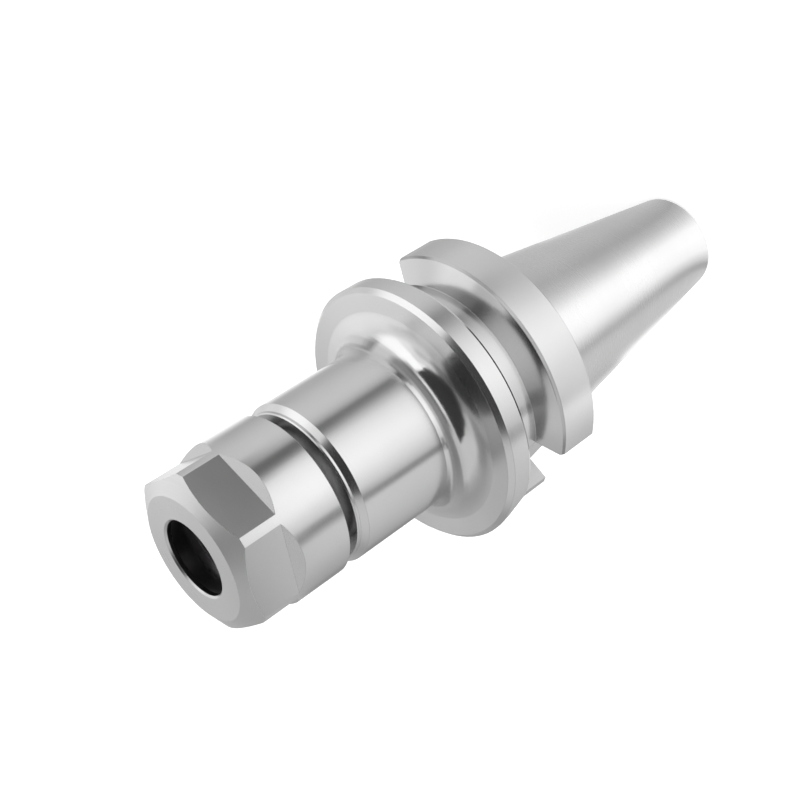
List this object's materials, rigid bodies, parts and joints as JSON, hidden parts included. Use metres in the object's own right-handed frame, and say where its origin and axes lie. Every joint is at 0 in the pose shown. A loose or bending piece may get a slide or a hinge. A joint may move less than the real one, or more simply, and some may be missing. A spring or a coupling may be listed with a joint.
{
  "type": "collet chuck holder",
  "caption": "Collet chuck holder with a steep machine taper, a grooved gripper flange, a cylindrical nose and a hexagon clamping nut.",
  "frame": {"origin": "middle of the end face at the small end of the taper", "axes": "+Z along the axis from the taper to the nut; +X through the middle of a drive slot"},
  "size_m": [0.046, 0.046, 0.1144],
  "materials": {
    "holder_steel": "bright ground and turned",
    "nut_steel": "bright turned"
  },
  "bodies": {
    "holder": {"holder_body": "holder_steel"},
    "nut": {"clamping_nut": "nut_steel"}
  },
  "joints": [
    {"name": "nut_turn", "type": "hinge", "parent": "holder", "child": "nut", "pos_m": [0, 0, 0.105], "axis": [0, 0, 1], "range_deg": [-144, 2250]}
  ]
}
